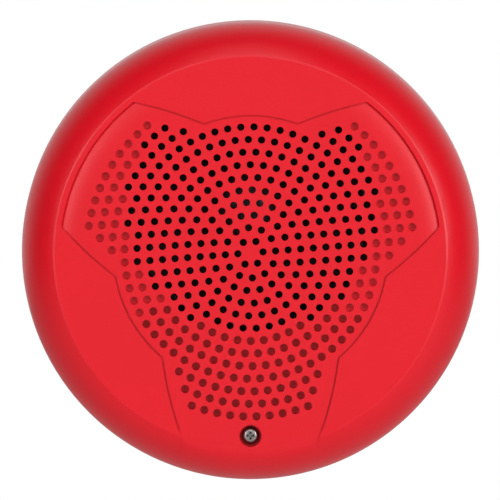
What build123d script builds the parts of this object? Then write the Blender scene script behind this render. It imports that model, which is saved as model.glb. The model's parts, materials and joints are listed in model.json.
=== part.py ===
"""Round wall-mounted fire-alarm sounder: a loudspeaker head on a plug-in mounting plate.

Millimetres. X is to the right, Z is up and the front faces -Y. The wall is the plane Y = 0, and a
"depth" is a distance in front of the wall, so depth = -Y. The origin is on the wall, behind the
centre of the hole pattern.
"""

from build123d import *
import os
from math import asin, cos, degrees, hypot, radians, sin, sqrt, tan

# Overall size
OUTER_RADIUS = 86.6
FACE_DEPTH = 48.0
SKIRT_BACK = 2.0
SKIRT_WALL = 2.5

# Front cover: rounded shoulder, three raised petals and the lobed field of holes between them
SHOULDER_RADIUS = 20.95
SHOULDER_RISE = 19.08
CREASE_FILLET = 1.75
SKIRT_FILLET = 0.8
FIELD_RECESS = 0.4
FACE_THICK = 2.9
LOBE_RADIUS = 72.2
PETAL_INNER_RADIUS = 51.8
PETAL_HALF_ANGLE = 20.0
PETAL_END_RADIAL = 56.8
PETAL_END_TANGENTIAL = 44.4
PETAL_SIDE_SAGITTA = 0.75
GROOVE_WIDTH = 0.7
GROOVE_DEPTH = 1.1
RAMP_START = 64.0
RAMP_DROP = 1.2
LOWER_RAMP_END = 78.0
LOWER_RAMP_SLOPE = 3.0
PAD_RADIUS = 68.0

# Hole pattern: ring n has 6 n places, one pitch further out than the ring before it
HOLE_PITCH = 4.7625
HOLE_PHASE = 4.4
HOLE_RADIUS = 1.4
DIMPLE_RADIUS = 1.55
UPPER_DIMPLE_DEPTH = 2.4
LOWER_DIMPLE_DEPTH = 3.6
FULL_RINGS = 10
ARM_RINGS = {11: 31.1, 12: 25.7, 13: 21.1}
ARM_ANGLES = (30, 150, 270)
OPEN_HOLE_REACH = 47.9

# Cover screw, held captive in the head
SCREW_Z = -69.3
SCREW_RECESS_RADIUS = 4.15
SCREW_SEAT_DEPTH = 42.5
SCREW_FLOOR = 2.0
SCREW_HEAD_RADIUS = 3.35
SCREW_HEAD_HEIGHT = 2.4
SCREW_RADIUS = 1.75
SCREW_NECK_RADIUS = 1.2
SCREW_TIP_DEPTH = 4.2
SCREW_RECESS_WALL = 1.75
SCREW_CLEARANCE = 0.25
WASHER_DEPTH = 33.3
WASHER_THICK = 0.8
WASHER_RADIUS = 3.0

# Hinge bars of the head and hooks of the mounting plate
PIVOT_DEPTH = 6.0
PIVOT_Z = 81.2
PIVOT_RADIUS = 1.0
HOOK_CLEARANCE = 0.08
HOOK_X = 9.1
HOOK_WIDTH = 7.0
RIB_THICK = 1.6
RIB_GAP = HOOK_WIDTH + 1.2

# Mounting plate
PLATE_RADIUS = 76.0
PLATE_THICK = 2.5
PLATE_RIM_DEPTH = 8.0
PLATE_RIM_WALL = 2.0
STIFFENER_RADIUS = 62.0
STIFFENER_THICK = 1.2
STIFFENER_HEIGHT = 2.0
SLOT_SPACING = 86.1
SLOT_LENGTH = 7.6
MOUNT_HOLE_RADIUS = 2.2
GANG_SPACING_X = 46.04
GANG_SPACING_Z = 83.34
WIRE_ENTRY = (28.0, 17.0)
WIRE_ENTRY_Z = -22.5
WIRE_ENTRY_CORNER = 4.0
INSERT_RADIUS = 3.2
INSERT_BORE = 2.02
INSERT_BACK = 3.0
INSERT_FRONT = 9.0
INSERT_BOSS_WALL = 1.6
INSERT_PROUD = 0.4

# Terminal block on the plate
TERMINALS = 4
TERMINAL_PITCH = 8.2
TERMINAL_BLOCK = (34.0, 24.0)
TERMINAL_BLOCK_Z = -46.0
TERMINAL_BASE_DEPTH = 6.0
TERMINAL_TOP_DEPTH = 13.5
TERMINAL_SCREW_Z = -39.0
SOCKET_Z = -51.0
CONTACT_WIDTH = 7.0
CONTACT_THICK = 1.0
CONTACT_GAP = 0.1
SOCKET_SIZE = (4.2, 4.6)
BAY_WALL = 2.0
PEG_RADIUS = 1.5
PEG_BACK = 0.6
TERMINAL_SCREW_RADIUS = 1.5
TERMINAL_HEAD_RADIUS = 3.0
TERMINAL_HEAD_HEIGHT = 2.1
TERMINAL_SCREW_TIP = 3.2
CLAMP_SIZE = (6.4, 6.4)
CLAMP_THICK = 0.8
RUNNING_GAP = 0.05

# Rear cover
REAR_BACK = 16.0
REAR_THICK = 2.0
REAR_RADIUS = 83.55
POT_RADIUS = 29.0
POT_BACK = 5.0
REAR_RIM_BACK = 2.5
REAR_RIM_FRONT = 6.0
STANDOFF_RADIUS = 3.0
COVER_SCREW_HOLE = 1.7
CAPTIVE_SCREW_HOLE = 2.6
CONNECTOR_WINDOW = (33.0, 7.0)
TAP_WINDOW = (15.0, 15.0)
VOLTAGE_WINDOW = (15.0, 9.0)
COVER_POST_CIRCLE = 72.0
COVER_POST_ANGLES = (45, 135, 222, 318)
COVER_POST_RADIUS = 3.5
PILOT_RADIUS = 1.2
PILOT_LENGTH = 15.0
THREAD_GAP = 0.05

# Loudspeaker, on an axis above the middle of the face
SPEAKER_Z = 16.6
FLANGE_BACK = 40.1
FLANGE_THICK = 1.2
FLANGE_RADIUS = 52.0
EAR_RADIUS = 4.2
WINDOW_RADII = (31.5, 42.5)
TAG_X = 6.0
LAND_DEPTH = 43.1
LAND_RADIUS = 56.0
GRILLE_RADIUS = 46.8
GASKET_BACK = 41.7
GASKET_INNER = 48.1
GASKET_OUTER = 50.3
SPEAKER_SCREW_CIRCLE = 54.5
MAGNET_BACK = 11.0
MAGNET_THICK = 7.5
MAGNET_RADIUS = 25.5
TOP_PLATE_THICK = 3.5
YOKE_BACK = 7.8
YOKE_RADIUS = 23.0
POLE_RADIUS = 9.6
POLE_SHORT = 0.2
GAP_OUTER_RADIUS = 10.75
MAGNET_BORE = 13.0
COIL_RADIUS = 9.98
COIL_WALL = 0.14
COIL_BACK = 14.5
COIL_FRONT = 30.0
WINDING_WALL = 0.3
WINDING_BACK = 17.4
WINDING_FRONT = 23.2

# Circuit board and what is on it
BOARD_BACK = 20.0
BOARD_THICK = 1.6
BOARD_SIZE = (94.0, 34.0)
BOARD_Z = -41.0
BOARD_SCREW_GRID = (84.0, 24.0)
TRANSFORMER_PLACE = (-22.0, -47.0)
TRANSFORMER_CORE = (28.0, 17.0)
CAPACITOR_PLACE = (22.0, -50.0)
CAPACITOR_RADIUS = 5.5
CAPACITOR_LENGTH = 20.0
PIN_RADIUS = 0.9
ROTOR_RADIUS = 4.0
TAP_SELECTOR_X = 27.0
VOLTAGE_SWITCH_X = -27.0
SWITCH_Z = -44.0

FIELD_DEPTH = FACE_DEPTH - FIELD_RECESS
FACE_INNER_DEPTH = FACE_DEPTH - FACE_THICK
SHOULDER_CENTRE = (OUTER_RADIUS - SHOULDER_RADIUS, FACE_DEPTH - SHOULDER_RISE)
SKIRT_INNER = OUTER_RADIUS - SKIRT_WALL
BOARD_FRONT = BOARD_BACK + BOARD_THICK
REAR_FRONT = REAR_BACK + REAR_THICK
FLANGE_FRONT = FLANGE_BACK + FLANGE_THICK
MAGNET_FRONT = MAGNET_BACK + MAGNET_THICK
TOP_PLATE_FRONT = MAGNET_FRONT + TOP_PLATE_THICK
OVERLAP = 0.5


# Planes and axes

def at_depth(depth, x=0.0, z=0.0):
    """A plane parallel to the wall that faces the room: local x is X and local y is Z."""
    return Plane(origin=(x, -depth, z), x_dir=(1, 0, 0), z_dir=(0, -1, 0))


def section(x=0.0, z=0.0):
    """A plane square to the wall: local x is the radius from (x, z) and local y is the depth."""
    return Plane(origin=(x, 0, z), x_dir=(1, 0, 0), z_dir=(0, 0, -1))


def side_view(x=0.0):
    """A plane across X: local x is the depth and local y is Z."""
    return Plane(origin=(x, 0, 0), x_dir=(0, -1, 0), z_dir=(-1, 0, 0))


def depth_axis(x=0.0, z=0.0):
    return Axis((x, 0, z), (0, 1, 0))


def polar_point(radius, angle):
    return (radius * cos(radians(angle)), radius * sin(radians(angle)))


def save(builder, name):
    builder.part.label = name
    export_step(builder.part, f"parts/{name}.step")


# Shared shapes

def turned(points, x=0.0, z=0.0):
    """A closed outline of (radius, depth) points, turned about the depth axis through (x, z)."""
    with BuildSketch(section(x, z)) as outline:
        with BuildLine():
            Polyline(*points, close=True)
        make_face()
    revolve(outline.sketch, axis=depth_axis(x, z))


def tube(inner, outer, back, front, x=0.0, z=0.0):
    turned([(inner, back), (outer, back), (outer, front), (inner, front)], x, z)


def post(places, radius, back, front, mode=Mode.ADD):
    """Round posts, or holes when mode subtracts, at the places given as (x, z)."""
    with BuildSketch(at_depth(back)) as outline:
        with Locations(*places):
            Circle(radius)
    extrude(outline.sketch, amount=front - back, mode=mode)


def block(size, back, front, x=0.0, z=0.0, mode=Mode.ADD):
    """A rectangular block, size (x, z), between two depths."""
    with BuildSketch(at_depth(back, x, z)) as outline:
        Rectangle(*size)
    extrude(outline.sketch, amount=front - back, mode=mode)


def cross_recess(x, z, front, reach, width, depth):
    """A Phillips recess in a screw head."""
    with BuildSketch(at_depth(front - depth, x, z)) as outline:
        Rectangle(2 * reach, width)
        Rectangle(width, 2 * reach)
    extrude(outline.sketch, amount=depth + OVERLAP, mode=Mode.SUBTRACT)


def screw(x, z, seat, facing, head_radius, head_height, shank_radius, length):
    """A pan-head screw. facing is +1 when the head looks into the room and -1 towards the wall."""
    top = seat + facing * head_height
    edge = seat + facing * 0.45 * head_height
    turned([(0, seat - facing * length), (shank_radius, seat - facing * length),
            (shank_radius, seat), (head_radius, seat), (head_radius, edge),
            (0.62 * head_radius, top), (0, top)], x, z)


def rear_facing_recess(places, back, reach, width, depth):
    with BuildSketch(at_depth(back - OVERLAP)) as outline:
        with Locations(*places):
            Rectangle(2 * reach, width)
            Rectangle(width, 2 * reach)
    extrude(outline.sketch, amount=depth + OVERLAP, mode=Mode.SUBTRACT)


# Front cover

def petal_face(margin=0.0):
    """One petal along local +X, drawn to well outside the cover and grown by margin."""
    corner = polar_point(PETAL_INNER_RADIUS, PETAL_HALF_ANGLE)
    end = (PETAL_END_RADIAL, PETAL_END_TANGENTIAL)
    far = 1.3 * OUTER_RADIUS
    with BuildSketch() as petal:
        with BuildLine():
            side = SagittaArc(corner, end, -PETAL_SIDE_SAGITTA)
            reach = side @ 1 + (side % 1) * (OUTER_RADIUS - PETAL_END_TANGENTIAL)
            Line(side @ 1, reach)
            Line(reach, (far, reach.Y))
            Line((far, reach.Y), (far, 0))
            arc_middle = (PETAL_INNER_RADIUS, 0)
            Line((far, 0), arc_middle)
            CenterArc((0, 0), PETAL_INNER_RADIUS, 0, PETAL_HALF_ANGLE)
        make_face()
        mirror(about=Plane.XZ)
        if margin:
            offset(amount=margin, mode=Mode.REPLACE)
    return petal.sketch


def arm_region(radius):
    """The disc of that radius with the three petals taken out."""
    with BuildSketch() as region:
        Circle(radius)
        with PolarLocations(0, 3, start_angle=90):
            add(petal_face(), mode=Mode.SUBTRACT)
    return region.sketch


def groove_region():
    """A narrow band along the edge of each petal."""
    with BuildSketch() as band:
        with PolarLocations(0, 3, start_angle=90):
            add(petal_face(GROOVE_WIDTH / 2))
        with PolarLocations(0, 3, start_angle=90):
            add(petal_face(-GROOVE_WIDTH / 2), mode=Mode.SUBTRACT)
        Circle(LOBE_RADIUS, mode=Mode.INTERSECT)
    return band.sketch


def shoulder_slope(radius):
    """Angle of the shoulder's surface at that radius, from the plane of the face."""
    return degrees(asin((radius - SHOULDER_CENTRE[0]) / SHOULDER_RADIUS))


def shoulder_depth(radius):
    return SHOULDER_CENTRE[1] + sqrt(SHOULDER_RADIUS ** 2 - (radius - SHOULDER_CENTRE[0]) ** 2)


def upper_arm_ramps():
    """What is cut away where the two upper arms fall towards the rim."""
    run = LOBE_RADIUS - RAMP_START
    ramp_radius = (run ** 2 + RAMP_DROP ** 2) / (2 * RAMP_DROP)
    fall = degrees(asin(run / ramp_radius))
    with BuildPart() as ramps:
        with BuildSketch(section()):
            with BuildLine():
                ramp = JernArc((RAMP_START, FIELD_DEPTH), (1, 0), ramp_radius, -fall)
                Polyline(ramp @ 1, (LOBE_RADIUS, FACE_DEPTH + OVERLAP),
                         (RAMP_START, FACE_DEPTH + OVERLAP), ramp @ 0)
            make_face()
        revolve(axis=depth_axis())
        with BuildSketch(at_depth(FACE_DEPTH - 2 * RAMP_DROP)):
            add(arm_region(LOBE_RADIUS))
            with Locations((0, -LOBE_RADIUS)):
                Rectangle(2 * LOBE_RADIUS, LOBE_RADIUS, mode=Mode.SUBTRACT)
        extrude(amount=4 * RAMP_DROP, mode=Mode.INTERSECT)
    return ramps.part


def lower_arm_ramp():
    """What is cut away where the lower arm flows over the shoulder without a lip."""
    end_slope = shoulder_slope(LOWER_RAMP_END)
    drop = FIELD_DEPTH - shoulder_depth(LOWER_RAMP_END)
    run = LOWER_RAMP_END - RAMP_START
    gentle = tan(radians(LOWER_RAMP_SLOPE / 2))
    steep = tan(radians((LOWER_RAMP_SLOPE + end_slope) / 2))
    steep_run = (drop - gentle * run) / (steep - gentle)
    gentle_radius = (run - steep_run) / sin(radians(LOWER_RAMP_SLOPE))
    steep_radius = steep_run / (sin(radians(end_slope)) - sin(radians(LOWER_RAMP_SLOPE)))
    with BuildPart() as ramp:
        with BuildSketch(section()):
            with BuildLine():
                first = JernArc((RAMP_START, FIELD_DEPTH), (1, 0), gentle_radius,
                                -LOWER_RAMP_SLOPE)
                second = JernArc(first @ 1, first % 1, steep_radius, LOWER_RAMP_SLOPE - end_slope)
                Polyline(second @ 1, (LOWER_RAMP_END, FACE_DEPTH + OVERLAP),
                         (RAMP_START, FACE_DEPTH + OVERLAP), first @ 0)
            make_face()
        revolve(axis=depth_axis())
        with BuildSketch(at_depth(FACE_DEPTH - 4 * RAMP_DROP)):
            add(arm_region(OUTER_RADIUS))
            with Locations((0, -OUTER_RADIUS)):
                Rectangle(OUTER_RADIUS, OUTER_RADIUS, mode=Mode.INTERSECT)
        extrude(amount=6 * RAMP_DROP, mode=Mode.INTERSECT)
    return ramp.part


def hole_places():
    """Centres of the open holes, of the blind ones in the upper arms and of those in the lower arm."""
    open_holes = []
    upper_dimples = []
    lower_dimples = []
    for ring in range(1, max(ARM_RINGS) + 1):
        for k in range(6 * ring):
            angle = HOLE_PHASE + 60 * k / ring
            off_arm = min(abs((angle - arm + 180) % 360 - 180) for arm in ARM_ANGLES)
            if ring > FULL_RINGS and off_arm > ARM_RINGS[ring]:
                continue
            x, z = polar_point(ring * HOLE_PITCH, angle)
            if hypot(x, z - SPEAKER_Z) <= OPEN_HOLE_REACH:
                open_holes.append((x, z))
            elif abs((angle - 270 + 180) % 360 - 180) < 60:
                lower_dimples.append((x, z))
            else:
                upper_dimples.append((x, z))
    return open_holes, upper_dimples, lower_dimples


def cover_post_places():
    return [polar_point(COVER_POST_CIRCLE, angle) for angle in COVER_POST_ANGLES]


def speaker_screw_places():
    places = [polar_point(SPEAKER_SCREW_CIRCLE, angle) for angle in (45, 135, 225, 315)]
    return [(x, z + SPEAKER_Z) for x, z in places]


def make_front_cover():
    open_holes, upper_dimples, lower_dimples = hole_places()
    crease_angle = degrees(asin((FACE_DEPTH - SHOULDER_CENTRE[1]) / SHOULDER_RADIUS))
    inner_radius = SHOULDER_RADIUS - SKIRT_WALL
    inner_angle = degrees(asin((FACE_INNER_DEPTH - SHOULDER_CENTRE[1]) / inner_radius))
    crease = SHOULDER_CENTRE[0] + SHOULDER_RADIUS * cos(radians(crease_angle))
    ramps = upper_arm_ramps()
    low_ramp = lower_arm_ramp()
    with BuildPart() as front_cover:
        with BuildSketch(section()):
            with BuildLine():
                outer = CenterArc(SHOULDER_CENTRE, SHOULDER_RADIUS, 0, crease_angle)
                inner = CenterArc(SHOULDER_CENTRE, inner_radius, 0, inner_angle)
                Polyline(inner @ 0, (SKIRT_INNER, SKIRT_BACK), (OUTER_RADIUS, SKIRT_BACK), outer @ 0)
                Polyline(outer @ 1, (0, FACE_DEPTH), (0, FACE_INNER_DEPTH), inner @ 1)
            make_face()
        revolve(axis=depth_axis())
        rings = front_cover.edges().filter_by(GeomType.CIRCLE)
        fillet(rings.sort_by(lambda edge: abs(edge.radius - crease))[0], radius=CREASE_FILLET)
        fillet(rings.sort_by(lambda edge: abs(edge.radius - OUTER_RADIUS) - edge.center().Y)[0],
               radius=SKIRT_FILLET)

        with BuildSketch(at_depth(LAND_DEPTH)):
            add(arm_region(PAD_RADIUS))
            with Locations((0, SPEAKER_Z)):
                Circle(LAND_RADIUS)
                Circle(GRILLE_RADIUS, mode=Mode.SUBTRACT)
        extrude(amount=FACE_INNER_DEPTH - LAND_DEPTH + OVERLAP)
        post(cover_post_places(), COVER_POST_RADIUS, REAR_FRONT, FACE_INNER_DEPTH + OVERLAP)
        post(speaker_screw_places(), EAR_RADIUS, FLANGE_FRONT, FACE_INNER_DEPTH + OVERLAP)
        post([(0, SCREW_Z)], SCREW_RECESS_RADIUS + SCREW_RECESS_WALL,
             SCREW_SEAT_DEPTH - SCREW_FLOOR, FACE_INNER_DEPTH + OVERLAP)
        hinge_bars()

        with BuildSketch(at_depth(FIELD_DEPTH)):
            add(arm_region(LOBE_RADIUS))
        extrude(amount=2 * FIELD_RECESS, mode=Mode.SUBTRACT)
        with BuildSketch(at_depth(FACE_DEPTH - GROOVE_DEPTH)):
            add(groove_region())
        extrude(amount=2 * GROOVE_DEPTH, mode=Mode.SUBTRACT)
        add(ramps, mode=Mode.SUBTRACT)
        add(low_ramp, mode=Mode.SUBTRACT)

        post(cover_post_places(), PILOT_RADIUS, REAR_FRONT, REAR_FRONT + PILOT_LENGTH,
             Mode.SUBTRACT)
        post(speaker_screw_places(), PILOT_RADIUS, FLANGE_FRONT, LAND_DEPTH + 0.4, Mode.SUBTRACT)
        post([(0, SCREW_Z)], SCREW_RECESS_RADIUS, SCREW_SEAT_DEPTH, FACE_DEPTH + 1, Mode.SUBTRACT)
        post([(0, SCREW_Z)], SCREW_RADIUS + SCREW_CLEARANCE, SCREW_SEAT_DEPTH - 2 * SCREW_FLOOR,
             SCREW_SEAT_DEPTH, Mode.SUBTRACT)
        post(upper_dimples, DIMPLE_RADIUS, FIELD_DEPTH - UPPER_DIMPLE_DEPTH, FACE_DEPTH + 1,
             Mode.SUBTRACT)
        post(lower_dimples, DIMPLE_RADIUS, FIELD_DEPTH - LOWER_DIMPLE_DEPTH, FACE_DEPTH + 1,
             Mode.SUBTRACT)
        post(open_holes, HOLE_RADIUS, LAND_DEPTH - 1, FACE_DEPTH + 1, Mode.SUBTRACT)
    save(front_cover, "front_cover")


def hinge_bars():
    """Two short bars, each between two ribs, inside the top of the skirt."""
    for x in (-HOOK_X, HOOK_X):
        for side in (-1, 1):
            rib_x = x + side * (RIB_GAP + RIB_THICK) / 2
            with BuildSketch(side_view(rib_x)) as rib:
                with BuildLine():
                    Polyline((4.2, 79.6), (7.2, 79.6), (12.4, 82.0), (12.4, 84.6), (4.2, 84.6),
                             close=True)
                make_face()
            extrude(rib.sketch, amount=RIB_THICK / 2, both=True)
        with BuildSketch(side_view(x)) as bar:
            with Locations((PIVOT_DEPTH, PIVOT_Z)):
                Circle(PIVOT_RADIUS)
        extrude(bar.sketch, amount=RIB_GAP / 2 + OVERLAP, both=True)


# Mounting plate and what is fixed to it

def hook_profile():
    """One hook from the side: a web off the plate and a round seat that is open at the top."""
    seat = PIVOT_RADIUS + HOOK_CLEARANCE
    hook_radius = 2.7
    mouth = (7, 3)
    lip_height = 1.1
    with BuildLine() as web:
        Polyline((0, 70), (PLATE_THICK, 70), (PLATE_THICK, 75), (6.6, 76.6), (7.6, 78.7), (0, 78.7),
                 close=True)
    make_face(web.line.edges())
    with Locations((PIVOT_DEPTH, PIVOT_Z)):
        Circle(hook_radius)
        Circle(seat, mode=Mode.SUBTRACT)
    with Locations((PIVOT_DEPTH, PIVOT_Z + 1.4)):
        Rectangle(*mouth, mode=Mode.SUBTRACT)
    lip_thick = hook_radius - seat
    with Locations((PIVOT_DEPTH + seat + lip_thick / 2, PIVOT_Z + 0.2)):
        Rectangle(lip_thick, lip_height)


def make_mounting_plate():
    with BuildPart() as mounting_plate:
        post([(0, 0)], PLATE_RADIUS, 0, PLATE_THICK)
        tube(PLATE_RADIUS - PLATE_RIM_WALL, PLATE_RADIUS, 0, PLATE_RIM_DEPTH)
        tube(STIFFENER_RADIUS, STIFFENER_RADIUS + STIFFENER_THICK, PLATE_THICK - OVERLAP,
             PLATE_THICK + STIFFENER_HEIGHT)
        post([(0, SCREW_Z)], INSERT_RADIUS + INSERT_BOSS_WALL, 0, INSERT_FRONT)
        for x in (-HOOK_X, HOOK_X):
            with BuildSketch(side_view(x)):
                hook_profile()
            extrude(amount=HOOK_WIDTH / 2, both=True)

        post([(0, SCREW_Z)], INSERT_RADIUS, INSERT_BACK, INSERT_FRONT + 1, Mode.SUBTRACT)
        with BuildSketch(at_depth(-1, 0, WIRE_ENTRY_Z)):
            RectangleRounded(*WIRE_ENTRY, radius=WIRE_ENTRY_CORNER)
        extrude(amount=PLATE_THICK + 2, mode=Mode.SUBTRACT)
        with BuildSketch(at_depth(-1)):
            with GridLocations(SLOT_SPACING, 0, 2, 1):
                SlotOverall(SLOT_LENGTH, 2 * MOUNT_HOLE_RADIUS)
            with GridLocations(GANG_SPACING_X, GANG_SPACING_Z, 2, 2):
                Circle(MOUNT_HOLE_RADIUS)
            with Locations(*block_pegs()):
                Circle(PEG_RADIUS)
        extrude(amount=PLATE_THICK + 2, mode=Mode.SUBTRACT)
    save(mounting_plate, "mounting_plate")


def make_threaded_insert():
    with BuildPart() as insert:
        tube(INSERT_BORE, INSERT_RADIUS, INSERT_BACK, INSERT_FRONT + INSERT_PROUD, 0, SCREW_Z)
    save(insert, "threaded_insert")


def terminal_places(z):
    first = -(TERMINALS - 1) / 2 * TERMINAL_PITCH
    return [(first + k * TERMINAL_PITCH, z) for k in range(TERMINALS)]


def block_pegs():
    half = TERMINAL_BLOCK[0] / 2 - 3
    return [(-half, TERMINAL_BLOCK_Z), (half, TERMINAL_BLOCK_Z)]


def make_terminal_block():
    """Four open wire bays along the top and, below them, the four sockets of the plug-in pins."""
    top_edge = TERMINAL_BLOCK_Z + TERMINAL_BLOCK[1] / 2
    bottom_edge = TERMINAL_BLOCK_Z - TERMINAL_BLOCK[1] / 2
    socket_top = SOCKET_Z + 4
    bay_width = CONTACT_WIDTH + 2 * CONTACT_GAP
    bay_height = top_edge - socket_top
    tunnel = socket_top - bottom_edge - BAY_WALL
    with BuildPart() as terminal_block:
        block(TERMINAL_BLOCK, PLATE_THICK, TERMINAL_TOP_DEPTH, 0, TERMINAL_BLOCK_Z)
        post(block_pegs(), PEG_RADIUS, PEG_BACK, PLATE_THICK)
        for x, z in terminal_places(socket_top + bay_height / 2):
            block((bay_width, bay_height + 0.01), TERMINAL_BASE_DEPTH, TERMINAL_TOP_DEPTH, x, z,
                  Mode.SUBTRACT)
            block((bay_width, tunnel + 2 * OVERLAP), TERMINAL_BASE_DEPTH,
                  TERMINAL_BASE_DEPTH + CONTACT_THICK + RUNNING_GAP, x,
                  socket_top + OVERLAP - tunnel / 2, Mode.SUBTRACT)
            block(SOCKET_SIZE, TERMINAL_BASE_DEPTH, TERMINAL_TOP_DEPTH, x, SOCKET_Z,
                  Mode.SUBTRACT)
        post(terminal_places(TERMINAL_SCREW_Z), TERMINAL_SCREW_RADIUS + 0.3,
             TERMINAL_SCREW_TIP - 0.3, TERMINAL_BASE_DEPTH, Mode.SUBTRACT)
    save(terminal_block, "terminal_block")


def make_contact_plates():
    """Tinned strips, each with a tapped hole and two spring leaves that stand in its socket."""
    top_edge = TERMINAL_BLOCK_Z + TERMINAL_BLOCK[1] / 2 - 0.6
    bottom_edge = SOCKET_Z - 3.2
    front = TERMINAL_BASE_DEPTH + CONTACT_THICK
    leaf = (2.4, 0.5)
    leaf_offset = 1.75
    with BuildPart() as contact_plates:
        for x, z in terminal_places(SOCKET_Z):
            block((CONTACT_WIDTH, top_edge - bottom_edge), TERMINAL_BASE_DEPTH, front,
                  x, (top_edge + bottom_edge) / 2)
            for side in (-1, 1):
                block(leaf, front, TERMINAL_TOP_DEPTH - 2, x, z + side * leaf_offset)
        post(terminal_places(TERMINAL_SCREW_Z), TERMINAL_SCREW_RADIUS + RUNNING_GAP,
             TERMINAL_BASE_DEPTH, front, Mode.SUBTRACT)
    save(contact_plates, "contact_plates")


def make_terminals():
    """Four wire clamps and the screws that press them down."""
    clamp_back = TERMINAL_BASE_DEPTH + CONTACT_THICK + RUNNING_GAP
    clamp_front = clamp_back + CLAMP_THICK
    seat = clamp_front + RUNNING_GAP
    for number, (x, z) in enumerate(terminal_places(TERMINAL_SCREW_Z), start=1):
        with BuildPart() as clamp:
            block(CLAMP_SIZE, clamp_back, clamp_front, x, z)
            post([(x, z)], TERMINAL_SCREW_RADIUS + RUNNING_GAP, clamp_back, clamp_front,
                 Mode.SUBTRACT)
            chamfer(clamp.faces().sort_by(Axis.Y)[0].outer_wire().edges(), length=0.25)
        save(clamp, f"terminal_clamp_{number}")
        with BuildPart() as terminal_screw:
            screw(x, z, seat, 1, TERMINAL_HEAD_RADIUS, TERMINAL_HEAD_HEIGHT,
                  TERMINAL_SCREW_RADIUS, seat - TERMINAL_SCREW_TIP)
            cross_recess(x, z, seat + TERMINAL_HEAD_HEIGHT, 1.2, 0.6, 1.3)
        save(terminal_screw, f"terminal_screw_{number}")


# Rear cover and its screws

def make_rear_cover():
    """A flat cover with a rim, a pot for the magnet, standoffs for the board and the windows."""
    through = (REAR_BACK - 1, REAR_FRONT + 1)
    inner_pot_back = POT_BACK + REAR_THICK
    with BuildPart() as rear_cover:
        post([(0, 0)], REAR_RADIUS, REAR_BACK, REAR_FRONT)
        tube(REAR_RADIUS - REAR_THICK, REAR_RADIUS, REAR_BACK - REAR_RIM_BACK,
             REAR_FRONT + REAR_RIM_FRONT)
        post([(0, SPEAKER_Z)], POT_RADIUS, POT_BACK, REAR_FRONT)
        post([(0, SPEAKER_Z)], POT_RADIUS - REAR_THICK, inner_pot_back, REAR_FRONT + 1,
             Mode.SUBTRACT)
        post(board_screw_places(), STANDOFF_RADIUS, REAR_FRONT, BOARD_BACK)

        post(cover_post_places(), COVER_SCREW_HOLE, *through, Mode.SUBTRACT)
        post([(0, SCREW_Z)], CAPTIVE_SCREW_HOLE, *through, Mode.SUBTRACT)
        post(board_screw_places(), PILOT_RADIUS, REAR_BACK - 1, BOARD_BACK + 1, Mode.SUBTRACT)
        block(CONNECTOR_WINDOW, *through, 0, SOCKET_Z, Mode.SUBTRACT)
        block(TAP_WINDOW, *through, TAP_SELECTOR_X, SWITCH_Z, Mode.SUBTRACT)
        block(VOLTAGE_WINDOW, *through, VOLTAGE_SWITCH_X, SWITCH_Z, Mode.SUBTRACT)
    save(rear_cover, "rear_cover")


def make_rear_cover_screws():
    head_height = 2.2
    with BuildPart() as rear_cover_screws:
        for x, z in cover_post_places():
            screw(x, z, REAR_BACK, -1, 2.9, head_height, PILOT_RADIUS - THREAD_GAP,
                  PILOT_LENGTH - 2)
        rear_facing_recess(cover_post_places(), REAR_BACK - head_height, 1.2, 0.6, 1.3)
    save(rear_cover_screws, "rear_cover_screws")


def make_captive_screw():
    """Pan-head screw with a long shank; a neck under the middle holds the retaining washer."""
    seat = SCREW_SEAT_DEPTH + 0.1
    top = seat + SCREW_HEAD_HEIGHT
    crown = 0.55 * SCREW_HEAD_RADIUS
    neck_back = WASHER_DEPTH - RUNNING_GAP
    neck_front = WASHER_DEPTH + WASHER_THICK + RUNNING_GAP
    with BuildPart() as captive_screw:
        turned([(0, SCREW_TIP_DEPTH), (SCREW_RADIUS - 0.5, SCREW_TIP_DEPTH),
                (SCREW_RADIUS, SCREW_TIP_DEPTH + 0.8), (SCREW_RADIUS, neck_back),
                (SCREW_NECK_RADIUS, neck_back), (SCREW_NECK_RADIUS, neck_front),
                (SCREW_RADIUS, neck_front), (SCREW_RADIUS, seat), (SCREW_HEAD_RADIUS, seat),
                (SCREW_HEAD_RADIUS, seat + 1.0), (crown, top), (0, top)], 0, SCREW_Z)
        rim = captive_screw.edges().filter_by(GeomType.CIRCLE)
        fillet(rim.filter_by(lambda edge: abs(edge.radius - crown) < 0.01), radius=0.7)
        cross_recess(0, SCREW_Z, top, 1.45, 0.75, 1.6)
    save(captive_screw, "captive_screw")


def make_retaining_washer():
    with BuildPart() as retaining_washer:
        tube(SCREW_NECK_RADIUS + RUNNING_GAP, WASHER_RADIUS, WASHER_DEPTH,
             WASHER_DEPTH + WASHER_THICK, 0, SCREW_Z)
    save(retaining_washer, "retaining_washer")


# Loudspeaker

def speaker_turned(points):
    turned(points, 0, SPEAKER_Z)


def basket_window():
    """The outline of one window between the spokes of the basket, along local +X."""
    with BuildSketch() as window:
        with BuildLine():
            inner = CenterArc((0, 0), WINDOW_RADII[0], -30, 60)
            outer = CenterArc((0, 0), WINDOW_RADII[1], -30, 60)
            Line(inner @ 0, outer @ 0)
            Line(inner @ 1, outer @ 1)
        make_face()
    return window.sketch


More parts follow.
